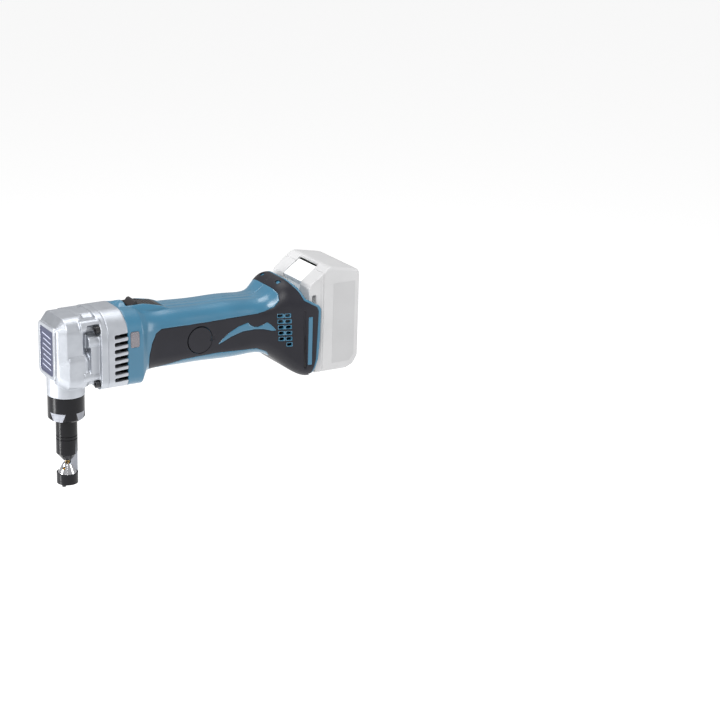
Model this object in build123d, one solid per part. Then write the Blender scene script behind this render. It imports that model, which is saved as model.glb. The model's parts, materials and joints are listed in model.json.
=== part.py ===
from build123d import *
import math
import os

# Cordless nibbler with a slide-on battery pack. Millimetres.
# X runs along the motor shaft from the head to the battery, Z is up,
# the origin is on the punch axis at the top face of the die.

# Driving dimensions
AXIS_Z = 111.5          # height of the motor shaft above the die face
MODULE = 0.6            # gear module
PINION_TEETH = 10
GEAR_TEETH = 44
THROW = 2.5             # eccentricity of the crank pin
WALL = 3.0              # housing wall
SKIN = 1.6              # soft grip over the housing
NECK_R = 18.2           # round neck under the gear head
NUT_R = 17.8            # lock nut
BARREL_R = 10.4         # die holder barrel
PUNCH_R = 2.5           # punch nose
SHEET_GAP = 3.0         # throat between die face and barrel nose
FLANGE_X = 29.0         # joint face between gear head and vent ring
RING_X = 49.3           # joint face between vent ring and handle
BACK_X = 243.0          # face that the battery slides along
PACK_X = 300.0          # rear face of the battery
PACK_Z0 = 62.0          # bottom of the battery
PACK_Z1 = 163.5         # top of the battery
PACK_HALF = 37.5        # half width of the battery
CAN_R = 21.0            # motor can
FAN_R = 24.0
CAP_X = 129.0           # brush axis
CAP_R = 12.7            # brush cap

CRANK_Z = AXIS_Z - MODULE * (PINION_TEETH + GEAR_TEETH) / 2


def block(x0, x1, y0, y1, z0, z1):
    size = (x1 - x0, y1 - y0, z1 - z0)
    return Pos((x0 + x1) / 2, (y0 + y1) / 2, (z0 + z1) / 2) * Box(*size)


def rod_x(r, x0, x1, y=0.0, z=0.0):
    return Pos((x0 + x1) / 2, y, z) * Rot(0, 90, 0) * Cylinder(r, x1 - x0)


def rod_y(r, y0, y1, x=0.0, z=0.0):
    return Pos(x, (y0 + y1) / 2, z) * Rot(90, 0, 0) * Cylinder(r, y1 - y0)


def rod_z(r, z0, z1, x=0.0, y=0.0):
    return Pos(x, y, (z0 + z1) / 2) * Cylinder(r, z1 - z0)


def cone_z(r0, r1, z0, z1, x=0.0, y=0.0):
    # r0 at the bottom z0, r1 at the top z1
    return Pos(x, y, (z0 + z1) / 2) * Cone(r0, r1, z1 - z0)


def side_prism(points, y0, y1):
    # outline in X and Z, carried from y0 to y1
    outline = make_face(Polyline(*points, close=True))
    face = Plane(origin=(0, y1, 0), x_dir=(1, 0, 0), z_dir=(0, -1, 0)) * outline
    return extrude(face, y1 - y0)


def section(x, hw, z0, z1, rt, rb):
    # rounded cross-section of the body at x, with top and bottom corner radii
    face = Rectangle(2 * hw, z1 - z0)
    top = face.vertices().sort_by(Axis.Y)[2:]
    face = fillet(top, rt)
    low = face.vertices().sort_by(Axis.Y)[:2]
    face = fillet(low, rb)
    plane = Plane(origin=(x, 0, (z0 + z1) / 2), x_dir=(0, 1, 0), z_dir=(1, 0, 0))
    return plane * face


def one(shape):
    # the largest solid of a cut or a union
    return max(shape.solids(), key=lambda s: s.volume)


def group(shapes):
    solids = []
    for shape in shapes:
        solids.extend(shape.solids())
    return Compound(children=solids)


def polar_copies(shape, count, z, start=0.0):
    # copies turned about a line along X through height z
    turned = []
    for i in range(count):
        a = start + 360.0 * i / count
        turned.append(Pos(0, 0, z) * Rot(a, 0, 0) * Pos(0, 0, -z) * shape)
    return turned


def involute_teeth(module, count, gap):
    # outline of a spur gear in its own plane
    pressure = math.radians(25)
    rp = module * count / 2
    rb = rp * math.cos(pressure)
    ra = rp + 0.9 * module
    rf = rp - 1.2 * module
    inv = math.tan(pressure) - pressure
    half = (math.pi * module / 2 - gap) / (2 * rp)
    radii = [max(rb, rf) + (ra - max(rb, rf)) * k / 4 for k in range(5)]
    flank = []
    for r in radii:
        roll = math.acos(min(1.0, rb / r))
        flank.append((r, half + inv - (math.tan(roll) - roll)))
    if rb > rf:
        flank.insert(0, (rf, flank[0][1]))
    points = []
    for i in range(count):
        mid = 2 * math.pi * i / count
        points.extend((r, mid - a) for r, a in flank)
        points.extend((r, mid + a) for r, a in reversed(flank))
    outline = [(r * math.cos(a), r * math.sin(a)) for r, a in points]
    return make_face(Polyline(*outline, close=True))


def spur_gear(count, x0, x1, z, turn):
    # Y-Z outline, extruded along X about the line at height z
    face = Rot(0, 0, turn) * involute_teeth(MODULE, count, 0.14)
    plane = Plane(origin=(x0, 0, z), x_dir=(0, 1, 0), z_dir=(1, 0, 0))
    return extrude(plane * face, x1 - x0)


def pan_screw_x(x, y, z, length, r=2.0, head=3.6):
    # hex-socket screw along +X, head front face at x
    body = rod_x(head, x, x + 4.0, y, z) + rod_x(r, x + 3.9, x + length, y, z)
    socket = Pos(x, y, z) * Rot(0, 90, 0) * extrude(RegularPolygon(1.7, 6), 2.2)
    return one(body - socket)


SCREWS = [(-28.0, 138.0), (28.0, 138.0), (-27.0, 84.5), (27.0, 84.5)]


# Housing skin: the same loft at three depths gives skin, grip and inside
NECK_ROW = (65.6, 33.8, 78.2, 149.4, 24.0, 9.5)
HANDLE_ROWS = [
    (72.0, 29.6, 86.4, 145.8, 19.0, 12.0),
    (78.0, 28.0, 87.2, 144.3, 18.0, 13.0),
    (90.0, 27.2, 87.2, 143.7, 17.0, 14.0),
    (140.0, 26.6, 86.2, 142.2, 16.0, 14.5),
    (185.0, 26.8, 86.0, 140.9, 16.0, 14.0),
    (200.0, 28.0, 85.0, 141.0, 16.5, 14.0),
    (208.0, 30.2, 81.5, 145.0, 18.0, 14.0),
    (215.5, 33.0, 76.0, 152.2, 20.5, 14.0),
    (226.0, 36.6, 67.5, 156.2, 24.0, 13.0),
    (240.0, 40.2, 59.8, 157.0, 25.0, 12.0),
    (256.0, 41.2, 58.8, 157.0, 25.0, 12.0),
]


def inset_section(row, inset):
    x, half_width, low, high, top_r, low_r = row
    return section(x, half_width - inset, low + inset, high - inset,
                   top_r - inset, low_r - inset)


def palm_loft(inset):
    return loft([inset_section(row, inset) for row in HANDLE_ROWS])


def handle_loft(inset):
    neck = loft([inset_section(NECK_ROW, inset),
                 inset_section(HANDLE_ROWS[0], inset)], ruled=True)
    return palm_loft(inset) + neck


def collar_loft(inset):
    front = (RING_X, 35.0, 78.6, 151.0, 26.0, 10.0)
    return loft([inset_section(front, inset), inset_section(NECK_ROW, inset)])


def rear_trim():
    # everything behind the slanted rear edge of the housing
    edge = [(229.0, 175.0), (229.0, 156.4), (234.8, 149.0), (238.4, 140.4),
            (252.4, 132.6), (254.6, 129.0),
            (254.2, 100.0), (252.4, 78.0), (248.0, 66.0), (241.4, 50.0),
            (320.0, 50.0), (320.0, 175.0)]
    return side_prism(edge, -60, 60)


def switch_boss():
    # raised loop around the slide switch
    outline = [(50.6, 146.0), (52.0, 151.6), (55.0, 153.9), (60.0, 154.2),
               (70.0, 152.4), (94.0, 147.0), (103.0, 143.6), (103.0, 138.0)]
    # its rims fall away to both sides over a rounded top
    return side_prism(outline, -14.5, 14.5) & rod_x(16.0, 45.0, 110.0, 0, 138.0)


def grip_region():
    # side view of the soft grip, wrapped from the palm to the rear flare
    outline = [(74.4, 104.0), (73.8, 97.0), (75.6, 90.8), (80.0, 88.4),
               (112.0, 94.6), (150.0, 95.6), (192.0, 93.4), (203.0, 88.5),
               (212.0, 77.5), (220.0, 60.0), (228.0, 50.0), (241.0, 50.0),
               (246.0, 64.0), (249.8, 78.0), (251.8, 127.0), (249.8, 131.4),
               (236.8, 138.8), (233.2, 147.4), (227.2, 155.4), (227.2, 175.0),
               (210.5, 175.0), (211.6, 152.0), (214.4, 146.0), (213.6, 139.5),
               (208.4, 133.6), (200.0, 130.2), (192.0, 128.8), (139.0, 128.2),
               (88.0, 128.6), (82.0, 125.0),
               (77.6, 116.0)]
    return side_prism(outline, -60, 60)


def flame():
    # raised blue inlay in the palm grip
    outline = [(148.0, 103.4), (154.0, 109.0), (161.0, 114.2), (171.0, 119.0),
               (181.6, 121.4), (184.4, 118.4), (188.0, 116.2), (192.0, 115.6),
               (197.0, 117.0), (201.8, 119.4), (206.6, 115.6), (210.8, 110.4),
               (206.0, 110.2), (199.0, 112.2), (190.0, 113.4), (176.0, 113.2),
               (163.0, 109.6), (154.0, 105.6)]
    return side_prism(outline, -60, 60)


def vent_grid(grow):
    # air windows in the flare, grow wider all round in the soft grip
    holes = []
    for row in range(6):
        for col in range(2):
            x = 211.6 + 6.9 * col + 0.4 * row
            z = 123.6 - 5.9 * row
            if row == 5 and col == 0:
                continue
            holes.append(block(x - grow, x + 4.8 + grow, -60, 60, z - grow,
                               z + 3.0 + grow))
    return holes


def inside_space():
    # hollow of the two housing halves, with motor seats left standing
    room = handle_loft(WALL) & block(60, 239.4, -60, 60, 40, 180)
    room += collar_loft(WALL)
    for x0, x1, r in ((54.0, 56.5, CAN_R - 2.4), (137.6, 145.4, 8.0)):
        rib = block(x0, x1, -60, 60, 40, 180) - rod_x(r, x0 - 1, x1 + 1, 0, AXIS_Z)
        rib -= block(x0 - 1, x1 + 1, -4.6, 4.6, AXIS_Z, 180)
        room -= rib
    for x, z in SHELL_SCREWS:
        room -= rod_y(4.0, -60, 60, x, z)
    # solid floor under the slide switch
    room -= side_prism([(56.0, 170.0), (56.0, 145.8), (101.5, 140.4),
                        (101.5, 170.0)], -11.5, 11.5)
    # wall that closes the slanted rear edge
    room -= side_prism([(225.6, 190.0), (225.6, 153.6), (231.4, 147.0),
                        (234.8, 138.6), (239.4, 135.8), (300.0, 135.8),
                        (300.0, 190.0)], -60, 60)
    return room


SHELL_SCREWS = [(148.0, 92.5), (190.0, 93.5), (190.0, 134.0), (224.0, 140.0),
                (226.0, 82.0)]


def screw_ways():
    # pilot holes and sunk seats for the screws that close the handle
    ways = []
    for x, z in SHELL_SCREWS:
        ways.append(rod_y(1.62, -13.0, 20.0, x, z) + rod_y(3.5, 14.0, 60.0, x, z))
    return group(ways)


def battery_bay():
    # recess and side tongues that the battery slides along
    bay = block(BACK_X, 270, -37.2, 37.2, PACK_Z0 - 0.6, 200)
    for s in (-1, 1):
        y0, y1 = sorted((s * 32.0, s * 42.0))
        bay -= block(247.4, 250.8, y0, y1, PACK_Z0 + 4, 126.0)
    return bay


def housing_skin():
    return handle_loft(0.0) - rear_trim() - battery_bay()


def whole_housing():
    solid = housing_skin() + collar_loft(0.0) + switch_boss()
    solid -= inside_space()
    # slide switch well and slot for its stem
    solid -= side_prism([(59.0, 170.0), (59.0, 147.6), (99.4, 142.8),
                         (99.4, 170.0)], -9.2, 9.2)
    solid -= block(70.0, 90.0, -4.2, 4.2, 130.0, 160.0)
    # light window, brush caps, air vents, terminal seat and latch notch
    solid -= light_window(0.0)
    solid -= rod_y(CAP_R + 0.15, -60, 60, CAP_X, AXIS_Z)
    for s in (-1, 1):
        y0, y1 = sorted((s * 24.2, s * 60.0))
        solid -= rod_y(CAP_R + 0.8, y0, y1, CAP_X, AXIS_Z)
    for hole in vent_grid(0.0):
        solid -= hole
    solid -= flare_grooves()
    solid -= block(236.0, 246.0, -13.2, 13.2, 66.0, 92.2)
    solid -= screw_ways()
    solid -= block(237.8, 246.0, -9.0, 9.0, 131.0, 135.6)
    return solid


def light_window(gap):
    # rounded window in the left cheek, gap narrower all round for the lens
    plane = Plane(origin=(56.8, -28.0, 124.6), x_dir=(1, 0, 0), z_dir=(0, -1, 0))
    outline = RectangleRounded(9.4 - 2 * gap, 15.0 - 2 * gap, 1.8 - gap)
    return extrude(plane * outline, 12.0)


def flare_grooves():
    # long groove before the rear edge and a square pocket above it
    cuts = []
    for s in (-1, 1):
        y0, y1 = sorted((s * 38.6, s * 60.0))
        cuts.append(side_prism([(235.4, 129.7), (238.0, 129.5), (240.0, 68.6),
                                (237.4, 69.0)], y0, y1))
        turned = Pos(219.4, s * 15.5, 155.0) * Rot(-s * 12, 0, 0)
        cuts.append(turned * Box(5.0, 6.0, 4.0))
    return group(cuts)


def half(shape, side):
    y0, y1 = (0.0, 90.0) if side > 0 else (-90.0, 0.0)
    return shape & block(-60, 340, y0, y1, -60, 220)


def grip_layer():
    layer = palm_loft(0.0) - palm_loft(SKIN)
    layer = layer & grip_region()
    layer = layer - rear_trim() - battery_bay()
    layer -= flame()
    layer -= rod_y(CAP_R + 0.8, -60, 60, CAP_X, AXIS_Z)
    for s in (-1, 1):
        y0, y1 = sorted((s * 25.8, s * 60.0))
        layer -= block(CAP_X + CAP_R - 1, CAP_X + CAP_R + 3.4, y0, y1,
                       AXIS_Z - 2.6, AXIS_Z + 2.6)
    layer -= screw_ways()
    for hole in vent_grid(0.7):
        layer -= hole
    layer -= flare_grooves()
    # blue strip inlaid along the rear edge
    for s in (-1, 1):
        y0, y1 = sorted((s * 30.0, s * 60.0))
        layer -= block(241.2, 245.4, y0, y1, 73.0, 122.0)
    return layer


def grip(side, layer):
    piece = half(layer, side)
    return one(piece)


def shell(side, housing, layer):
    piece = half(housing, side) - half(layer, side)
    return one(piece)


# Gear head
def head_casting():
    nose = section(-16.6, 20.6, 88.6, 141.6, 6.0, 9.0)
    brow = section(-9.5, 27.6, 86.0, 149.2, 14.0, 14.0)
    crown = section(6.0, 27.6, 86.0, 149.6, 15.0, 12.0)
    back = section(11.0, 23.0, 88.0, 149.8, 13.0, 10.0)
    solid = loft([nose, brow], ruled=True) + loft([brow, crown], ruled=True)
    solid += loft([crown, back], ruled=True)
    # crank case across the lower half, rounded off towards the flange
    case_rows = [(-15.6, 21.8, 85.5, 113.0, 8.0, 10.0),
                 (-8.0, 29.6, 80.5, 118.5, 10.0, 12.0),
                 (8.0, 29.6, 79.6, 118.5, 10.0, 12.0),
                 (13.5, 27.6, 81.0, 116.5, 10.0, 11.0),
                 (16.5, 22.0, 84.0, 112.0, 9.0, 10.0)]
    cuts = [section(*row) for row in case_rows]
    for first, second in zip(cuts, cuts[1:]):
        solid += loft([first, second], ruled=True)
    # gear case behind it, and the flange
    solid += section_block(8.0, 24.0, 20.6, 79.4, 150.0, 14.0, 10.0)
    solid += section_block(21.8, FLANGE_X, 35.4, 78.6, 151.2, 26.0, 10.0)
    solid += section_block(4.0, 24.0, 28.6, 135.6, 147.2, 5.4, 5.0)
    for s in (-1, 1):
        y0, y1 = sorted((s * 18.0, s * 30.8))
        solid += block(13.0, 24.0, y0, y1, 92.0, 130.0)
        solid += rod_x(6.4, 10.5, 24.0, s * 25.4, 127.0)
        solid += rod_x(6.4, 6.0, 24.0, s * 25.0, 93.4)
    # round neck with the threaded end for the lock nut
    solid += rod_z(NECK_R, 70.0, 100.0)
    solid += rod_z(14.6, 51.3, 71.0)
    # raised border around the front badge
    solid += section_block(-19.1, -16.2, 19.0, 89.4, 141.0, 5.0, 6.0)
    solid -= section_block(-19.2, -18.5, 14.5, 92.8, 137.2, 1.5, 4.0)
    return solid


def section_block(x0, x1, hw, z0, z1, rt, rb):
    return extrude(section(x0, hw, z0, z1, rt, rb), x1 - x0)


def gear_housing():
    solid = head_casting()
    # ram space, ram guides and the bore for the die holder
    solid -= block(-9.0, 9.0, -15.0, 15.0, 74.0, 122.0)
    solid -= rod_z(9.6, 60.0, 145.0)
    solid -= rod_z(12.4, 51.0, 66.0)
    # crank shaft bearing seat and gear space
    solid -= rod_x(10.5, 5.0, 16.6, 0, CRANK_Z)
    solid -= rod_x(14.6, 16.5, FLANGE_X + 1, 0, CRANK_Z)
    solid -= rod_x(5.0, 15.6, FLANGE_X + 1, 0, AXIS_Z)
    solid -= rod_x(8.4, 26.5, FLANGE_X + 1, 0, AXIS_Z)
    # screw seats and holes
    for y, z in SCREWS:
        solid -= rod_x(5.2, 10.0, 22.5, y, z)
        solid -= rod_x(2.15, 20.0, FLANGE_X + 1, y, z)
    return one(solid)


def front_badge():
    plate = section_block(-19.0, -18.5, 14.3, 93.0, 137.0, 1.4, 3.8)
    return plate - section_block(-19.1, -18.8, 13.0, 94.6, 135.4, 0.8, 3.0)


def vent_ring():
    # bearing box between gear head and handle, open around the fan
    solid = section_block(FLANGE_X, RING_X, 35.4, 78.6, 151.2, 26.0, 10.0)
    solid -= rod_x(FAN_R + 1.6, 35.4, RING_X + 1, 0, AXIS_Z)
    solid -= section_block(44.0, RING_X + 1, 31.6, 82.4, 147.6, 22.0, 6.5)
    solid -= rod_x(8.0, 28.0, 33.2, 0, AXIS_Z)
    solid -= rod_x(4.0, 28.0, 36.0, 0, AXIS_Z)
    solid -= rod_x(6.5, 28.0, 33.2, 0, CRANK_Z)
    solid -= rod_x(4.6, 28.0, 34.4, 0, CRANK_Z)
    for i in range(7):
        z = 130.3 - 7.0 * i
        for s in (-1, 1):
            slot = Pos(43.0, s * 30.0, z) * Rot(0, -4, 0) * Box(15.2, 20.0, 3.6)
            solid -= slot
    for y, z in SCREWS:
        solid -= rod_x(2.15, 28.0, RING_X + 1, y, z)
    return one(solid)


def housing_screws():
    return group([pan_screw_x(18.4, y, z, 28.0) for y, z in SCREWS])


# Reciprocating drive
def crankshaft():
    solid = rod_x(9.0, 6.4, 9.6, 0, CRANK_Z) + rod_x(5.0, 9.5, 26.0, 0, CRANK_Z)
    solid += rod_x(4.0, 25.9, 33.0, 0, CRANK_Z)
    solid += rod_x(3.0, -5.2, 6.5, 0, CRANK_Z + THROW)
    solid += rod_x(5.6, 5.4, 6.5, 0, CRANK_Z + THROW)
    return one(solid)


def crank_roller():
    z = CRANK_Z + THROW
    return rod_x(5.0, -5.0, 5.2, 0, z) - rod_x(3.05, -6.0, 6.0, 0, z)


def crank_gear():
    blank = spur_gear(GEAR_TEETH, 18.0, 25.4, CRANK_Z, 90.0)
    blank -= rod_x(5.0, 17.0, 26.0, 0, CRANK_Z)
    for hole in polar_copies(rod_x(1.8, 17, 26, 0, CRANK_Z + 9.0), 6, CRANK_Z):
        blank -= hole
    blank -= rod_x(11.4, 17.0, 19.2, 0, CRANK_Z) - rod_x(7.0, 17, 26, 0, CRANK_Z)
    return one(blank)


def ring_bearing(r_out, r_in, x0, x1, z):
    # sealed ball bearing seen as races with a grooved shield between them
    mid = (r_out + r_in) / 2
    width = (r_out - r_in) / 4
    solid = rod_x(r_out, x0, x1, 0, z) - rod_x(r_in, x0 - 1, x1 + 1, 0, z)
    for a, b in ((x0 - 1, x0 + 0.4), (x1 - 0.4, x1 + 1)):
        solid -= rod_x(mid + width, a, b, 0, z) - rod_x(mid - width, a - 1, b + 1, 0, z)
    return one(solid)


def ram():
    # yoke block with its window, carried on a round stem
    top = 118.0
    window_mid = CRANK_Z + THROW
    solid = block(-8.4, 8.4, -13.8, 13.8, 82.0, top)
    solid += rod_z(9.2, top - 1, 124.0) & block(-9, 9, -9, 9, 80, 140)
    solid += rod_z(9.3, 66.5, 83.0)
    solid -= block(-6.2, 10.0, -8.1, 8.1, window_mid - 10.4, window_mid + 10.4)
    solid -= block(4.9, 10.0, -11.8, 11.8, 82.9, 116.9)
    solid -= rod_z(4.1, 60.0, 81.0)
    solid -= rod_y(1.6, -20, 20, 0, 74.0)
    return one(solid)


def punch():
    solid = rod_z(4.0, 18.0, 80.8)
    solid += cone_z(PUNCH_R, 4.0, 15.0, 18.2)
    solid += rod_z(PUNCH_R, -5.0, 15.1)
    solid -= block(-3.0, 0.9, -3.0, 3.0, -6.0, 2.2)
    solid -= rod_y(1.6, -5, 5, 0, 74.0)
    return one(solid)


def punch_pin():
    return rod_y(1.55, -9.0, 9.0, 0, 74.0) & rod_z(9.2, 70, 78)


def guide_bush():
    return rod_z(12.3, 51.4, 65.6) - rod_z(9.45, 50, 70)


def ram_cap():
    # upper guide plug above the ram
    return rod_z(9.6, 133.0, 145.0) - rod_z(5.0, 132.0, 140.0)


# Die holder
def die_holder():
    solid = rod_z(BARREL_R, 10.5, 51.0)
    solid += rod_z(12.2, 48.9, 51.0)
    solid += cone_z(4.0, BARREL_R, SHEET_GAP, 10.6)
    solid += block(2.75, 9.9, -2.4, 2.4, -12.0, 14.0)
    solid += rod_z(BARREL_R, -20.0, -9.6) - rod_z(8.9, -9.7, -9.0)
    solid -= rod_z(4.06, 11.8, 52.0)
    solid -= cone_z(2.6, 4.06, 8.9, 11.9)
    solid -= rod_z(PUNCH_R + 0.07, 0.0, 9.5)
    solid -= rod_z(3.6, -21.0, -9.0)
    for z in (25.2, 28.4):
        solid -= rod_z(11.0, z, z + 0.8) - rod_z(BARREL_R - 0.6, z - 1, z + 2)
    for x, y in DIE_SCREWS:
        solid -= rod_z(1.3, -22.0, -9.0, x, y)
    # milled flats beside the strut
    for s in (-1, 1):
        y0, y1 = sorted((s * 2.4, s * 12.0))
        cutter = Pos(16.5, 0, 1.0) * Rot(90, 0, 0) * Cylinder(14.0, 40)
        solid -= cutter & block(2.75, 12.0, y0, y1, -9.55, 16.0)
    return one(solid)


DIE_SCREWS = [(-5.2, -3.6), (-5.2, 3.6)]


def die():
    solid = cone_z(9.0, 4.4, -9.6, -0.6) + cone_z(4.4, 3.7, -0.6, 0.0)
    solid -= rod_z(PUNCH_R + 0.07, -6.0, 1.0)
    solid -= rod_z(3.2, -10.0, -5.9)
    solid -= block(2.72, 12.0, -2.45, 2.45, -12.0, 2.0)
    # chip window in the flank
    chip = Pos(0, 0, -4.4) * Rot(0, 0, 35) * Rot(0, -90, 0) * Cylinder(1.5, 12,
           align=(Align.CENTER, Align.CENTER, Align.MIN))
    solid -= chip
    for x, y in DIE_SCREWS:
        solid -= rod_z(1.1, -10.0, -7.0, x, y)
    return one(solid)


def die_screws():
    made = []
    for x, y in DIE_SCREWS:
        screw = rod_z(2.1, -22.6, -20.0, x, y) + rod_z(1.0, -20.1, -7.4, x, y)
        socket = Pos(x, y, -22.6) * extrude(RegularPolygon(1.0, 6), 1.4)
        made.append(one(screw - socket))
    return group(made)


def lock_nut():
    solid = rod_z(NUT_R, 46.0, 69.6) - cone_ring()
    solid -= rod_z(14.7, 51.2, 70.0)
    solid -= rod_z(12.5, 48.6, 51.3)
    solid -= rod_z(BARREL_R + 0.35, 40.0, 50.0)
    # wrench flats
    for a in (0, 90, 180, 270):
        notch = block(-8.4, 8.4, -20.0, -15.8, 45.0, 54.6)
        solid -= Rot(0, 0, a + 36.5) * notch
    return one(solid)


def cone_ring():
    ring = rod_z(NUT_R + 1, 45.0, 47.6) - cone_z(NUT_R - 1.6, NUT_R, 46.0, 47.6)
    return ring


# Motor
def armature_shaft():
    solid = rod_x(2.0, 17.2, 36.0, 0, AXIS_Z) + rod_x(2.5, 35.9, 137.0, 0, AXIS_Z)
    solid += rod_x(2.0, 136.9, 146.0, 0, AXIS_Z)
    return one(solid)


def pinion():
    blank = spur_gear(PINION_TEETH, 17.4, 26.2, AXIS_Z, 90.0 + 18.0)
    return one(blank - rod_x(2.0, 16, 27, 0, AXIS_Z))


def armature_core():
    solid = rod_x(12.6, 64.0, 112.0, 0, AXIS_Z)
    slot = block(63.0, 113.0, -0.8, 0.8, AXIS_Z + 11.6, AXIS_Z + 14.0)
    slot += rod_x(2.0, 63.0, 113.0, 0, AXIS_Z + 9.4)
    for cut in polar_copies(slot, 10, AXIS_Z):
        solid -= cut
    return one(solid - rod_x(2.5, 60, 115, 0, AXIS_Z))


def armature_windings():
    # copper bundles in the ten slots, joined by the end turns
    solid = rod_x(11.0, 57.6, 64.0, 0, AXIS_Z) + rod_x(11.0, 112.0, 118.4, 0, AXIS_Z)
    for bar in polar_copies(rod_x(1.9, 63.0, 113.0, 0, AXIS_Z + 9.4), 10, AXIS_Z):
        solid += bar
    solid -= rod_x(2.5, 50, 125, 0, AXIS_Z)
    for cut in polar_copies(block(50, 58.6, -0.9, 0.9, AXIS_Z + 8, AXIS_Z + 12), 10,
                            AXIS_Z, 18.0):
        solid -= cut
    return one(solid)


def commutator():
    solid = rod_x(8.6, 122.0, 135.6, 0, AXIS_Z) + rod_x(9.8, 119.0, 122.1, 0, AXIS_Z)
    solid -= rod_x(2.5, 110, 140, 0, AXIS_Z)
    saw = block(122.4, 136.0, -0.25, 0.25, AXIS_Z + 7.9, AXIS_Z + 9)
    for cut in polar_copies(saw, 20, AXIS_Z, 9.0):
        solid -= cut
    return one(solid)


def fan():
    solid = rod_x(FAN_R, 45.0, 46.6, 0, AXIS_Z) + rod_x(6.0, 38.0, 46.6, 0, AXIS_Z)
    solid -= rod_x(15.0, 44.0, 47.0, 0, AXIS_Z) - rod_x(9.0, 43, 48, 0, AXIS_Z)
    vane = block(38.6, 45.6, -0.7, 0.7, AXIS_Z + 5.5, AXIS_Z + FAN_R)
    for blade in polar_copies(vane, 12, AXIS_Z):
        solid += blade
    return one(solid - rod_x(2.5, 30, 50, 0, AXIS_Z))


def air_baffle():
    solid = section_block(50.0, 52.0, 31.2, 82.6, 146.6, 20.6, 6.1)
    solid -= rod_x(16.4, 49, 53, 0, AXIS_Z)
    return one(solid)


def motor_can():
    solid = rod_x(CAN_R, 56.8, 121.0, 0, AXIS_Z) - rod_x(CAN_R - 2.6, 55, 122, 0, AXIS_Z)
    for s in (-1, 1):
        y0, y1 = sorted((s * 17.0, s * 24.0))
        solid -= block(112.0, 122.0, y0, y1, AXIS_Z - 7.2, AXIS_Z + 7.2)
    return one(solid)


def magnets():
    ring = rod_x(CAN_R - 2.6, 62.0, 110.0, 0, AXIS_Z) - rod_x(13.4, 61, 111, 0, AXIS_Z)
    upper = ring & block(60, 112, -30, 30, AXIS_Z + 3.5, AXIS_Z + 30)
    lower = ring & block(60, 112, -30, 30, AXIS_Z - 30, AXIS_Z - 3.5)
    return group([upper, lower])


def brush_holders():
    made = []
    for s in (-1, 1):
        y0, y1 = sorted((s * 11.0, s * 22.6))
        tube = block(CAP_X - 5.4, CAP_X + 5.4, y0, y1, AXIS_Z - 6.6, AXIS_Z + 6.6)
        tube -= block(CAP_X - 2.9, CAP_X + 2.9, y0 - 1, y1 + 1, AXIS_Z - 4.3,
                      AXIS_Z + 4.3)
        made.append(tube)
    return group(made)


def brushes():
    made = []
    for s in (-1, 1):
        y0, y1 = sorted((s * 7.0, s * 17.0))
        bar = block(CAP_X - 2.8, CAP_X + 2.8, y0, y1, AXIS_Z - 4.2, AXIS_Z + 4.2)
        made.append(bar - rod_x(8.66, 120, 140, 0, AXIS_Z))
    return group(made)


def brush_springs():
    made = []
    for s in (-1, 1):
        path = Helix(1.35, 5.0, 1.9)
        start = Plane(origin=path @ 0, z_dir=path % 0)
        wire = sweep(start * Circle(0.28), path=path)
        made.append(Pos(CAP_X, s * 17.4, AXIS_Z) * Rot(-90 * s, 0, 0) * wire)
    return group(made)


def brush_cap(side):
    y0, y1 = sorted((side * 23.2, side * 27.4))
    disc = rod_y(CAP_R, y0, y1, CAP_X, AXIS_Z)
    y0, y1 = sorted((side * 22.7, side * 23.3))
    disc += rod_y(7.0, y0, y1, CAP_X, AXIS_Z)
    y0, y1 = sorted((side * 26.2, side * 28.0))
    disc -= block(CAP_X + CAP_R - 2.2, CAP_X + CAP_R + 1, y0, y1, AXIS_Z - 2.2,
                  AXIS_Z + 2.2)
    return one(disc)


# Switch and electrics
def switch_knob():
    outline = [(64.2, 147.6), (64.2, 148.8), (68.4, 153.6), (70.6, 154.0),
               (72.8, 149.4), (78.0, 149.8), (90.0, 148.6), (96.8, 146.2),
               (98.8, 144.2), (98.8, 143.5)]
    solid = side_prism(outline, -8.8, 8.8)
    solid = solid & block(50, 99, -9, 9, 100, 170)
    for x in (80.0, 83.2, 86.4, 89.6):
        solid -= rod_y(0.7, -9.5, 9.5, x, 150.0 - 0.1 * (x - 78.0))
    solid += block(76.0, 84.0, -3.6, 3.6, 137.0, 147.5)
    return one(solid)


def switch_rod():
    solid = block(76.0, 152.0, -3.6, 3.6, 134.2, 137.0)
    solid += block(149.0, 152.0, -3.6, 3.6, 129.4, 134.4)
    return one(solid)


def switch_unit():
    solid = block(150.0, 176.0, -9.0, 9.0, 102.0, 128.6)
    solid += block(160.0, 166.0, -2.5, 2.5, 128.5, 133.0)
    for z in (108.0, 118.0):
        solid += block(175.9, 182.0, -6.0, -5.2, z, z + 4.0)
        solid += block(175.9, 182.0, 5.2, 6.0, z, z + 4.0)
    return one(solid)


def light_lens():
    solid = light_window(0.1) & block(50, 64, -36, -32, 110, 140)
    return solid & collar_loft(0.0)


def light_board():
    board = block(53.0, 60.4, -30.6, -29.4, 118.4, 131.2)
    return one(board + rod_y(1.8, -31.8, -30.5, 56.7, 124.8))


def terminal_block():
    solid = block(236.2, 247.6, -13.0, 13.0, 66.2, 92.0)
    for y in (-8.0, 8.0):
        solid -= block(246.0, 250.0, y - 2.0, y + 2.0, 70.0, 93.0)
    return one(solid)


def terminal_blades():
    blades = []
    for y in (-8.0, 8.0):
        blades.append(block(246.0, 253.6, y - 0.5, y + 0.5, 72.0, 90.0))
    return group(blades)


def shell_screws():
    made = []
    for x, z in SHELL_SCREWS:
        screw = rod_y(3.2, 14.0, 16.4, x, z) + rod_y(1.6, -12.0, 14.1, x, z)
        screw -= block(x - 2.0, x + 2.0, 15.4, 17, z - 0.4, z + 0.4)
        made.append(one(screw - block(x - 0.4, x + 0.4, 15.4, 17, z - 2.0, z + 2.0)))
    return group(made)


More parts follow.
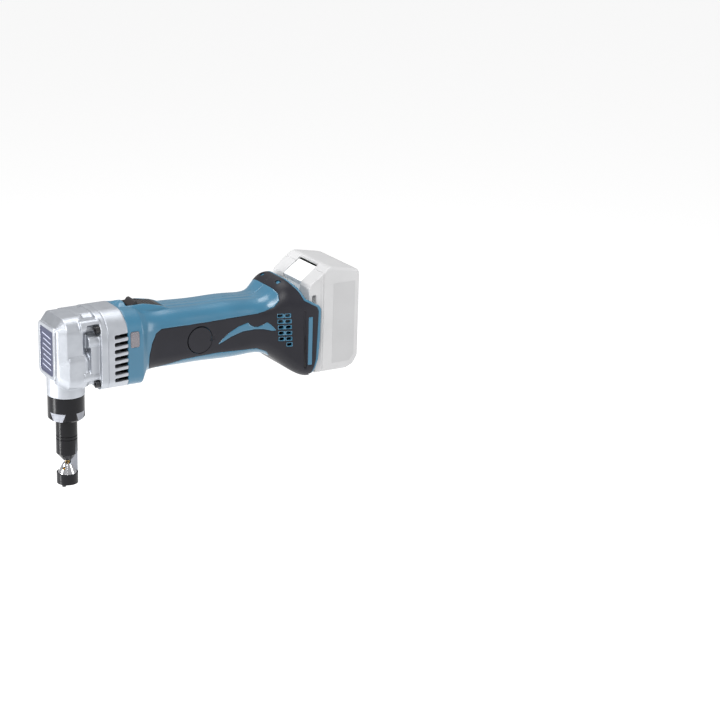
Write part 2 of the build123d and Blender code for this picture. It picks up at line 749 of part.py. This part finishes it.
# Battery
def pack_outline(inset):
    i = inset
    return [(BACK_X + 0.5 + i, PACK_Z0 + i), (PACK_X - 13.0, PACK_Z0 + i),
            (PACK_X - 5.0 - i * 0.7, PACK_Z0 + 3.5 + i * 0.7),
            (PACK_X - i, PACK_Z0 + 12.0), (PACK_X - i, PACK_Z1 - 5.0),
            (PACK_X - 2.0 - i, PACK_Z1 - 1.0 - i), (PACK_X - 8.0, PACK_Z1 + 0.6 - i),
            (268.0, 168.6 - i), (265.0 + i * 0.4, 168.2 - i),
            (244.6 + i, 152.6 - i * 0.5), (BACK_X + 0.5 + i, 149.0)]


def pack_body(inset):
    wide = PACK_HALF - inset
    solid = side_prism(pack_outline(inset), -wide, wide)
    side = [e for e in solid.edges() if abs(abs(e.center().Y) - wide) < 0.01
            and e.center().X > 262.0]
    solid = fillet(side, 3.0 if inset == 0.0 else 1.4)
    # front of the pack is narrower and grooved for the tongues of the bay
    for s in (-1, 1):
        y0, y1 = sorted((s * (36.4 - inset), s * 60.0))
        solid -= block(240.0, 257.0, y0, y1, 50.0, 157.0)
    return solid


def pack_cuts(solid):
    for s in (-1, 1):
        y0, y1 = sorted((s * 31.4, s * 60.0))
        solid -= block(247.0, 251.2, y0, y1, 50.0, 142.0)
    solid -= block(240.0, 255.0, -14.0, 14.0, 50.0, 96.0)
    return solid


def pack_inner():
    room = pack_body(2.6) & block(SPLIT_X, 320.0, -60, 60, 0, 175.0)
    return room


SPLIT_X = 259.0


def pack_front():
    solid = pack_cuts(pack_body(0.0)) & block(200, SPLIT_X, -60, 60, 0, 200)
    # hollow for the latch, open to the bay and to the slanted front
    solid -= block(240.0, 256.6, -16.4, 16.4, 127.0, 149.0)
    solid -= side_prism([(240.0, 146.0), (254.0, 146.0), (262.0, 155.0),
                         (262.0, 180.0), (240.0, 180.0)], -17.4, 17.4)
    return one(solid)


def pack_rear():
    solid = pack_body(0.0) & block(SPLIT_X, 320, -60, 60, 0, 200)
    solid -= pack_inner()
    solid -= side_prism([(250.0, 150.0), (250.0, 180.0), (264.4, 180.0),
                         (264.4, 158.0), (259.5, 150.0)], -17.4, 17.4)
    return one(solid)


def cells():
    made = []
    for col in range(2):
        for row in range(5):
            z = 74.5 + 17.9 * row
            made.append(rod_y(8.9, -32.5, 32.5, 268.3 + 18.0 * col, z))
    return group(made)


def cell_links():
    made = []
    for s in (-1, 1):
        y0, y1 = sorted((s * 32.5, s * 33.0))
        for row in range(5):
            z = 74.5 + 17.9 * row
            made.append(block(263.0, 292.0, y0, y1, z - 4.0, z + 4.0))
    return group(made)


def pack_terminals():
    made = []
    for y in (-8.0, 8.0):
        for s in (-1, 1):
            leaf = block(249.0, 254.8, y + s * 0.9 - 0.25, y + s * 0.9 + 0.25,
                         72.0, 95.8)
            made.append(leaf)
    return group(made)


def latch_button():
    face = [(245.0, 151.9), (262.4, 164.2), (263.4, 162.6), (259.0, 158.0),
            (251.4, 149.0), (246.6, 147.0)]
    solid = side_prism(face, -17.0, 17.0)
    solid += block(246.6, 251.0, -16.0, 16.0, 128.0, 148.4)
    solid += block(239.2, 247.0, -8.4, 8.4, 131.6, 135.0)
    for i in range(4):
        x = 250.0 + 3.2 * i
        z = 155.3 + 2.33 * i
        solid -= side_prism([(x, z - 0.6), (x + 1.0, z + 0.2), (x + 0.4, z + 1.4),
                             (x - 0.6, z + 0.6)], -12.0, 12.0)
    return one(solid)


def latch_springs():
    made = []
    for y in (-10.0, 10.0):
        path = Helix(1.5, 4.6, 2.2)
        start = Plane(origin=path @ 0, z_dir=path % 0)
        wire = sweep(start * Circle(0.3), path=path)
        made.append(Pos(251.5, y, 134.0) * Rot(0, 90, 0) * wire)
    return group(made)


def save(name, shape):
    shape.label = name
    export_step(shape, "parts/" + name + ".step")


def main():
    os.makedirs("parts", exist_ok=True)
    layer = grip_layer()
    housing = whole_housing()
    save("handle_shell_left", shell(-1, housing, layer))
    save("handle_shell_right", shell(1, housing, layer))
    save("grip_left", grip(-1, layer))
    save("grip_right", grip(1, layer))
    save("shell_screws", shell_screws())
    save("gear_housing", gear_housing())
    save("front_badge", front_badge())
    save("vent_ring", vent_ring())
    save("housing_screws", housing_screws())
    save("crankshaft", crankshaft())
    save("crank_roller", crank_roller())
    save("crank_gear", crank_gear())
    save("crank_bearing_front", ring_bearing(10.5, 5.05, 10.0, 16.4, CRANK_Z))
    save("crank_bearing_rear", ring_bearing(6.5, 4.05, 28.4, 33.2, CRANK_Z))
    save("motor_bearing_front", ring_bearing(8.0, 2.05, 28.2, 33.2, AXIS_Z))
    save("motor_bearing_rear", ring_bearing(8.0, 2.05, 138.6, 144.4, AXIS_Z))
    save("ram", ram())
    save("punch", punch())
    save("punch_pin", punch_pin())
    save("guide_bush", guide_bush())
    save("ram_cap", ram_cap())
    save("die_holder", die_holder())
    save("die", die())
    save("die_screws", die_screws())
    save("lock_nut", lock_nut())
    save("armature_shaft", armature_shaft())
    save("pinion", pinion())
    save("armature_core", armature_core())
    save("armature_windings", armature_windings())
    save("commutator", commutator())
    save("fan", fan())
    save("air_baffle", air_baffle())
    save("motor_can", motor_can())
    save("magnets", magnets())
    save("brush_holders", brush_holders())
    save("brushes", brushes())
    save("brush_springs", brush_springs())
    save("brush_cap_left", brush_cap(-1))
    save("brush_cap_right", brush_cap(1))
    save("switch_knob", switch_knob())
    save("switch_rod", switch_rod())
    save("switch_unit", switch_unit())
    save("light_lens", light_lens())
    save("light_board", light_board())
    save("terminal_block", terminal_block())
    save("terminal_blades", terminal_blades())
    save("pack_front", pack_front())
    save("pack_rear", pack_rear())
    save("cells", cells())
    save("cell_links", cell_links())
    save("pack_terminals", pack_terminals())
    save("latch_button", latch_button())
    save("latch_springs", latch_springs())


main()
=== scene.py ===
import json
import math

import bmesh
import bpy
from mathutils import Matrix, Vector

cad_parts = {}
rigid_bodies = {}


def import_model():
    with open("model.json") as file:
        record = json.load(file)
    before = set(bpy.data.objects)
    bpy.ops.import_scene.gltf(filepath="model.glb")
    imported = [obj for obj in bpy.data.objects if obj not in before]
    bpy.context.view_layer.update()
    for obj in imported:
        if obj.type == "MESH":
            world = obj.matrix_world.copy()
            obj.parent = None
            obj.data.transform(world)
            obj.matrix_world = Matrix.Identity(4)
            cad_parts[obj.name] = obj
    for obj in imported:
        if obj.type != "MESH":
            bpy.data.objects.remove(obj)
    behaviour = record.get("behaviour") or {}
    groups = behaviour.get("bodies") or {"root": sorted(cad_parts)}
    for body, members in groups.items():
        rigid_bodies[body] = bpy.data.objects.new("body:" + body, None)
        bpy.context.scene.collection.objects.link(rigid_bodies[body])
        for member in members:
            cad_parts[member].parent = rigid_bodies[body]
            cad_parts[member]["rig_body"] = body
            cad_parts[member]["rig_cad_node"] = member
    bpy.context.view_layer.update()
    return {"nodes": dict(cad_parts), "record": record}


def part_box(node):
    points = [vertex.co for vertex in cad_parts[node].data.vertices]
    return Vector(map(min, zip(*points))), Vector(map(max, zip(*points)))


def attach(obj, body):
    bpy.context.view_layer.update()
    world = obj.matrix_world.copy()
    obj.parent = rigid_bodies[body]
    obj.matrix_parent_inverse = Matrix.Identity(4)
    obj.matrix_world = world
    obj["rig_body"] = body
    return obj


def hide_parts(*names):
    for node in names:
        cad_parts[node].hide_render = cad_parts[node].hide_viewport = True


MM = 0.001

# Camera: low three-quarter view from the head side, with a long lens
VIEW_AZIMUTH = math.radians(-26.92)
VIEW_ELEVATION = math.radians(19.07)
VIEW_DISTANCE = 2.011
AIM = Vector((0.120, 0.0, 0.0725))
LENS = 103.6
SHIFT_X = 0.2514
SHIFT_Y = 0.0166

# Stage, in metres
FLOOR_Z = -0.45
FLOOR_HALF = 6.0
LIGHT_AIM = Vector((0.10, 0.0, 0.08))

# Handle, in mm along X, Y and Z
# The switch well and the foot of the rear grooves below are darkened as painted shade.
SWITCH_WELL = ((59.2, 99.0), (0.0, 9.4), (141.0, 152.0))
REAR_GROOVE = ((235.0, 240.6), (36.0, 60.0), (68.0, 130.0))
SPINE_START = 98.0
SPINE_END = 204.0
SPINE_HALF = 7.4
SPINE_RISE = 0.55
SPINE_RAMP = 6.0
SPINE_MIN_Z = 137.5


# ---------------------------------------------------------------- materials

def new_material(name):
    mat = bpy.data.materials.new(name)
    mat.use_nodes = True
    tree = mat.node_tree
    return mat, tree, tree.nodes["Principled BSDF"]


def node(tree, kind, **values):
    made = tree.nodes.new(kind)
    for key, value in values.items():
        setattr(made, key, value)
    return made


def coords(tree):
    return node(tree, "ShaderNodeTexCoord").outputs["Object"]


def noise(tree, where, scale, detail=3.0, rough=0.5):
    tex = node(tree, "ShaderNodeTexNoise")
    tex.inputs["Scale"].default_value = scale
    tex.inputs["Detail"].default_value = detail
    tex.inputs["Roughness"].default_value = rough
    tree.links.new(where, tex.inputs["Vector"])
    return tex.outputs["Fac"]


def bump(tree, bsdf, height, strength, distance):
    made = node(tree, "ShaderNodeBump")
    made.inputs["Strength"].default_value = strength
    made.inputs["Distance"].default_value = distance
    tree.links.new(height, made.inputs["Height"])
    tree.links.new(made.outputs["Normal"], bsdf.inputs["Normal"])


def vary(tree, value, low, high):
    """The same pattern, spread from low to high."""
    spread = node(tree, "ShaderNodeMapRange")
    spread.inputs["To Min"].default_value = low
    spread.inputs["To Max"].default_value = high
    tree.links.new(value, spread.inputs["Value"])
    return spread.outputs["Result"]


def tint(tree, bsdf, value, dark, light):
    """Cloudy base colour between dark and light."""
    ramp = node(tree, "ShaderNodeValToRGB")
    for stop, place, color in zip(ramp.color_ramp.elements, (0.3, 0.7), (dark, light)):
        stop.position = place
        stop.color = (*color, 1)
    tree.links.new(value, ramp.inputs["Fac"])
    tree.links.new(ramp.outputs["Color"], bsdf.inputs["Base Color"])


def moulded(name, dark, light, rough, grain=0.05, scale=2600.0, coat=0.0, gloss=0.5):
    """Spark-eroded plastic: fine even grain, slight cloudiness in colour."""
    mat, tree, bsdf = new_material(name)
    where = coords(tree)
    tint(tree, bsdf, noise(tree, where, 35.0), dark, light)
    grainy = noise(tree, where, scale, 2.0)
    tree.links.new(vary(tree, noise(tree, where, 60.0), rough - 0.05, rough + 0.05),
                   bsdf.inputs["Roughness"])
    bump(tree, bsdf, grainy, grain, 0.0002)
    bsdf.inputs["Specular IOR Level"].default_value = gloss
    bsdf.inputs["Coat Weight"].default_value = coat
    bsdf.inputs["Coat Roughness"].default_value = 0.2
    return mat


def metal(name, dark, light, rough, grain=0.03, scale=900.0, aniso=0.0):
    """Bare metal with a fine uneven polish."""
    mat, tree, bsdf = new_material(name)
    where = coords(tree)
    bsdf.inputs["Metallic"].default_value = 1.0
    tint(tree, bsdf, noise(tree, where, 120.0), dark, light)
    tree.links.new(vary(tree, noise(tree, where, 400.0, 4.0), rough - 0.06, rough + 0.06),
                   bsdf.inputs["Roughness"])
    bsdf.inputs["Anisotropic"].default_value = aniso
    bump(tree, bsdf, noise(tree, where, scale, 2.0), grain, 0.0001)
    return mat


def glass(name, color, rough):
    """Slightly milky window."""
    mat, tree, bsdf = new_material(name)
    bsdf.inputs["Base Color"].default_value = (*color, 1)
    bsdf.inputs["Roughness"].default_value = rough
    bsdf.inputs["Transmission Weight"].default_value = 0.7
    bump(tree, bsdf, noise(tree, coords(tree), 1500.0), 0.1, 0.0001)
    return mat


def make_materials():
    """Linear colours as dark and light cloud, then roughness and any extras."""
    made = [
        moulded("blue_plastic", (0.022, 0.112, 0.188), (0.025, 0.124, 0.206), 0.34, coat=0.5),
        moulded("grip_elastomer", (0.012, 0.012, 0.016), (0.015, 0.015, 0.020), 0.42, 0.10,
                1800.0, gloss=0.22),
        metal("zinc_screw", (0.5, 0.5, 0.48), (0.66, 0.66, 0.62), 0.3),
        metal("cast_alloy", (0.41, 0.43, 0.465), (0.45, 0.47, 0.505), 0.48, 0.14, 2400.0),
        moulded("badge_navy", (0.012, 0.016, 0.05), (0.018, 0.024, 0.07), 0.3),
        moulded("black_screw", (0.012, 0.012, 0.014), (0.02, 0.02, 0.022), 0.3),
        metal("ground_steel", (0.42, 0.42, 0.43), (0.52, 0.52, 0.53), 0.25, aniso=0.4),
        metal("bearing_steel", (0.6, 0.6, 0.6), (0.7, 0.7, 0.7), 0.15),
        metal("titanium_coat", (0.72, 0.45, 0.12), (0.85, 0.58, 0.2), 0.2),
        metal("bronze", (0.4, 0.25, 0.1), (0.55, 0.36, 0.18), 0.4),
        moulded("black_oxide", (0.004, 0.004, 0.005), (0.006, 0.006, 0.008), 0.24, 0.03,
                1500.0, gloss=0.22),
        # painted reflection: a lighter metal for the flats of the blackened nut and strut
        metal("painted_flat_reflection", (0.22, 0.23, 0.26), (0.30, 0.31, 0.34), 0.35),
        metal("chrome_die", (0.62, 0.62, 0.65), (0.72, 0.72, 0.74), 0.08, 0.01),
        metal("lamination", (0.18, 0.18, 0.19), (0.26, 0.26, 0.27), 0.45),
        metal("copper_wire", (0.5, 0.2, 0.07), (0.65, 0.3, 0.1), 0.3),
        metal("copper_bar", (0.7, 0.38, 0.2), (0.8, 0.45, 0.28), 0.22),
        moulded("dark_plastic", (0.02, 0.02, 0.022), (0.03, 0.03, 0.034), 0.5),
        metal("can_steel", (0.4, 0.4, 0.4), (0.5, 0.5, 0.5), 0.35),
        moulded("ferrite", (0.05, 0.05, 0.05), (0.08, 0.08, 0.085), 0.7),
        moulded("carbon", (0.02, 0.02, 0.02), (0.04, 0.04, 0.04), 0.6),
        metal("spring_steel", (0.5, 0.5, 0.5), (0.62, 0.62, 0.62), 0.25),
        moulded("cap_plastic", (0.013, 0.013, 0.017), (0.016, 0.016, 0.021), 0.40, gloss=0.22),
        moulded("knob_plastic", (0.012, 0.011, 0.012), (0.018, 0.016, 0.017), 0.40, gloss=0.35),
        glass("lens_clear", (0.48, 0.45, 0.49), 0.2),
        moulded("circuit_board", (0.02, 0.1, 0.05), (0.03, 0.14, 0.07), 0.3),
        metal("contact_metal", (0.6, 0.57, 0.45), (0.72, 0.68, 0.56), 0.25),
        moulded("pack_plastic", (0.41, 0.41, 0.415), (0.44, 0.44, 0.445), 0.4),
        moulded("cell_wrap", (0.1, 0.3, 0.15), (0.13, 0.35, 0.2), 0.3),
        moulded("pack_panel", (0.365, 0.365, 0.37), (0.385, 0.385, 0.39), 0.35),
        moulded("badge_bars", (0.30, 0.32, 0.42), (0.38, 0.40, 0.50), 0.3),
        moulded("pack_button", (0.72, 0.72, 0.72), (0.78, 0.78, 0.78), 0.3),
    ]
    # Blender numbers a name that is already taken, so the number is dropped
    return {mat.name.split(".")[0]: mat for mat in made}


# Nodes shown as moulded or cast copies: voxel size in mm, smoothing rounds
SOFTENED = [
    ("gear_housing", 0.5, 7),
    ("vent_ring", 0.5, 2),
    ("handle_shell_left", 0.6, 3),
    ("handle_shell_right", 0.6, 3),
    ("grip_left", 0.45, 3),
    ("grip_right", 0.45, 3),
    ("pack_front", 0.7, 4),
    ("pack_rear", 0.7, 4),
    ("switch_knob", 0.35, 3),
]


# ---------------------------------------------------------------- pieces

def loose_copy(source, name):
    """A free copy of a CAD node, to be shown in its place."""
    copy = source.copy()
    copy.data = source.data.copy()
    copy.name = name
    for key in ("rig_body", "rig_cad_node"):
        if key in copy:
            del copy[key]
    copy.parent = None
    copy.hide_render = False
    bpy.context.scene.collection.objects.link(copy)
    return copy


def soften(name, source, voxel, rounds):
    """A cast or moulded copy of a CAD node with rolled edges."""
    copy = loose_copy(source, name)
    remesh = copy.modifiers.new("skin", "REMESH")
    remesh.mode = "VOXEL"
    remesh.voxel_size = voxel
    remesh.use_smooth_shade = True
    smooth = copy.modifiers.new("roll", "SMOOTH")
    smooth.factor = 0.5
    smooth.iterations = rounds
    bpy.context.view_layer.update()
    graph = bpy.context.evaluated_depsgraph_get()
    mesh = bpy.data.meshes.new_from_object(copy.evaluated_get(graph))
    copy.modifiers.clear()
    copy.data = mesh
    for polygon in mesh.polygons:
        polygon.use_smooth = True
    return copy


def body_of(frame, node_name):
    bodies = frame["record"]["behaviour"]["bodies"]
    return [b for b, names in bodies.items() if node_name in names][0]


def stand_in(frame, node_name, voxel, rounds, materials, slots):
    coarse = 1.0
    made = soften(node_name + "_skin", frame["nodes"][node_name], voxel * coarse, rounds)
    made.data.materials.clear()
    made.data.materials.append(materials[slots[node_name]])
    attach(made, body_of(frame, node_name))
    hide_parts(node_name)
    return made


def two_tone(obj, second, chosen):
    """Give the faces that chosen(centre, normal) picks, in mm, a second material."""
    obj.data.materials.append(second)
    for polygon in obj.data.polygons:
        if chosen(polygon.center / MM, polygon.normal):
            polygon.material_index = 1


def inside(point, zone):
    """True in a zone of X, Y and Z ranges, taken on both sides of the tool."""
    place = (point.x, abs(point.y), point.z)
    return all(low <= value <= high for value, (low, high) in zip(place, zone))


def in_painted_shade_recess(centre, normal):
    """Painted shade: the switch well and the shell at the foot of the rear grooves are given a
    dark material.
    """
    return inside(centre, SWITCH_WELL) or inside(centre, REAR_GROOVE)


def on_nut_flat(centre, normal):
    """The wrench flats, inside the nut's round skin and at its lower end."""
    upright = abs(normal.z) < 0.1 and 45.0 < centre.z < 54.8
    return upright and math.hypot(centre.x, centre.y) < 16.9


def on_strut_flat(centre, normal):
    """The flats milled on both sides of the strut that carries the die."""
    beside = centre.x > 2.7 and 2.3 < abs(centre.y) < 9.0
    milled = abs(normal.y) > 0.9 or centre.z > 9.0
    return beside and milled and -9.6 < centre.z < 15.5


def paint_flats_reflection(frame, node_name, materials, chosen):
    """A copy of a blackened turned part with its milled flats in a lighter metal, a painted
    reflection.
    """
    made = loose_copy(frame["nodes"][node_name], node_name + "_blacked")
    smooth_by_angle(made, 30)
    two_tone(made, materials["painted_flat_reflection"], chosen)
    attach(made, body_of(frame, node_name))
    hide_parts(node_name)


def raise_spine(obj):
    """A low raised band along the top of the handle, between switch and flare."""
    for vertex in obj.data.vertices:
        x, y, z = vertex.co / MM
        if not (SPINE_START < x < SPINE_END and z > SPINE_MIN_Z):
            continue
        ends = min(1.0, (x - SPINE_START) / SPINE_RAMP, (SPINE_END - x) / SPINE_RAMP)
        sides = min(1.0, max(0.0, SPINE_HALF - abs(y)))
        vertex.co.z += SPINE_RISE * MM * ends * sides


def smooth_by_angle(obj, degrees):
    for polygon in obj.data.polygons:
        polygon.use_smooth = True
    obj.data.set_sharp_from_angle(angle=math.radians(degrees))


def paint(frame, materials, slots):
    for name, obj in frame["nodes"].items():
        obj.data.materials.clear()
        obj.data.materials.append(materials[slots[name]])


def slab(name, corners, thickness, direction):
    """A thin flat piece on the outline given by corners, thickened along direction."""
    mesh = bpy.data.meshes.new(name)
    form = bmesh.new()
    low = [form.verts.new(Vector(c)) for c in corners]
    face = form.faces.new(low)
    raised = bmesh.ops.extrude_face_region(form, geom=[face])
    moved = [g for g in raised["geom"] if isinstance(g, bmesh.types.BMVert)]
    bmesh.ops.translate(form, verts=moved, vec=Vector(direction) * thickness)
    bmesh.ops.recalc_face_normals(form, faces=form.faces)
    form.to_mesh(mesh)
    form.free()
    obj = bpy.data.objects.new(name, mesh)
    bpy.context.scene.collection.objects.link(obj)
    return obj


def badge_bars(frame, materials):
    """Plain slanted bars that fill the front badge."""
    low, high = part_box("front_badge")
    width = high.y - low.y
    count = 7
    edge = 4 * MM
    bar_height = 1.1 * MM
    rise = 1.6 * MM
    step = (high.z - low.z - 2 * edge) / count
    x = low.x + 0.19 * MM
    left = low.y + 0.16 * width
    for i in range(count):
        z = low.z + edge + step * (i + 0.2)
        right = high.y - (0.16 + 0.05 * (i % 3)) * width
        corners = [(x, left, z), (x, right, z + rise),
                   (x, right, z + rise + bar_height), (x, left, z + bar_height)]
        bar = slab("badge_bar_%d" % i, corners, 0.12 * MM, (-1, 0, 0))
        bar.data.materials.append(materials["badge_bars"])
        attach(bar, "housing")


def pack_panels(frame, materials):
    """A plain, slightly darker area on each flank of the battery."""
    low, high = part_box("pack_rear")
    for side, name in ((-1, "left"), (1, "right")):
        y = side * (high.y - 0.05 * MM)
        x0, x1 = low.x + 11 * MM, high.x - 5.5 * MM
        z0, z1 = low.z + 8 * MM, high.z - 17 * MM
        corners = [(x0, y, z0), (x1 - 5 * MM, y, z0), (x1, y, z0 + 6 * MM),
                   (x1, y, z1), (x0, y, z1)]
        panel = slab("pack_panel_" + name, corners, 0.15 * MM, (0, side, 0))
        panel.data.materials.append(materials["pack_panel"])
        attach(panel, "battery")


# ---------------------------------------------------------------- stage

def paper_floor():
    """A white paper floor, lit a little from within so that it stays white."""
    mesh = bpy.data.meshes.new("floor")
    form = bmesh.new()
    bmesh.ops.create_grid(form, x_segments=1, y_segments=1, size=FLOOR_HALF)
    form.to_mesh(mesh)
    form.free()
    floor = bpy.data.objects.new("floor", mesh)
    floor.location = (0.1, 0.0, FLOOR_Z)
    bpy.context.scene.collection.objects.link(floor)
    mat, _, bsdf = new_material("paper")
    bsdf.inputs["Base Color"].default_value = (0.7, 0.7, 0.7, 1)
    bsdf.inputs["Roughness"].default_value = 0.9
    bsdf.inputs["Emission Color"].default_value = (1.0, 1.0, 1.0, 1)
    bsdf.inputs["Emission Strength"].default_value = 0.57
    mesh.materials.append(mat)


def soft_light():
    world = bpy.data.worlds.new("studio")
    bpy.context.scene.world = world
    world.use_nodes = True
    back = world.node_tree.nodes["Background"]
    back.inputs["Color"].default_value = (1.0, 1.0, 1.0, 1)
    back.inputs["Strength"].default_value = 0.5

    # name, place, width, height, power
    lights = [
        ("key", (-0.6, -0.9, 1.15), 0.7, 0.7, 20.0),
        ("side_strip", (-1.1, 0.2, 0.1), 0.22, 1.2, 16.0),
        ("fill", (1.15, -0.8, 0.4), 0.5, 0.9, 6.0),
        ("top", (0.1, 0.35, 1.5), 1.2, 0.8, 15.0),
    ]
    for name, place, width, height, power in lights:
        data = bpy.data.lights.new(name, "AREA")
        data.shape = "RECTANGLE"
        data.size = width
        data.size_y = height
        data.energy = power
        lamp = bpy.data.objects.new(name, data)
        lamp.location = place
        aim = LIGHT_AIM - Vector(place)
        lamp.rotation_euler = aim.to_track_quat("-Z", "Y").to_euler()
        bpy.context.scene.collection.objects.link(lamp)


def look():
    """Plain tone curve, so that the paper floor stays white."""
    view = bpy.context.scene.view_settings
    view.view_transform = "Standard"
    view.look = "None"


def camera():
    data = bpy.data.cameras.new("camera")
    data.lens = LENS
    data.sensor_width = 36.0
    data.shift_x = SHIFT_X
    data.shift_y = SHIFT_Y
    data.clip_start = 0.05
    data.clip_end = 20.0
    obj = bpy.data.objects.new("camera", data)
    back = Vector((math.sin(VIEW_AZIMUTH) * math.cos(VIEW_ELEVATION),
                   -math.cos(VIEW_AZIMUTH) * math.cos(VIEW_ELEVATION),
                   math.sin(VIEW_ELEVATION)))
    obj.location = AIM + VIEW_DISTANCE * back
    obj.rotation_euler = (-back).to_track_quat("-Z", "Y").to_euler()
    bpy.context.scene.collection.objects.link(obj)
    bpy.context.scene.camera = obj


def main():
    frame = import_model()
    materials = make_materials()
    slots = {p["node"]: p["material_slot"] for p in frame["record"]["subparts"]}
    paint(frame, materials, slots)
    for name, voxel, rounds in SOFTENED:
        skin = stand_in(frame, name, voxel * MM, rounds, materials, slots)
        if name.startswith("handle_shell"):
            raise_spine(skin)
            # painted shade: the switch well and the foot of the rear grooves take the dark knob
            # plastic
            two_tone(skin, materials["knob_plastic"], in_painted_shade_recess)
    # painted reflection: the flats of the nut and the strut are shown in a lighter metal
    paint_flats_reflection(frame, "lock_nut", materials, on_nut_flat)
    paint_flats_reflection(frame, "die_holder", materials, on_strut_flat)
    badge_bars(frame, materials)
    pack_panels(frame, materials)
    paper_floor()
    soft_light()
    camera()
    look()


main()
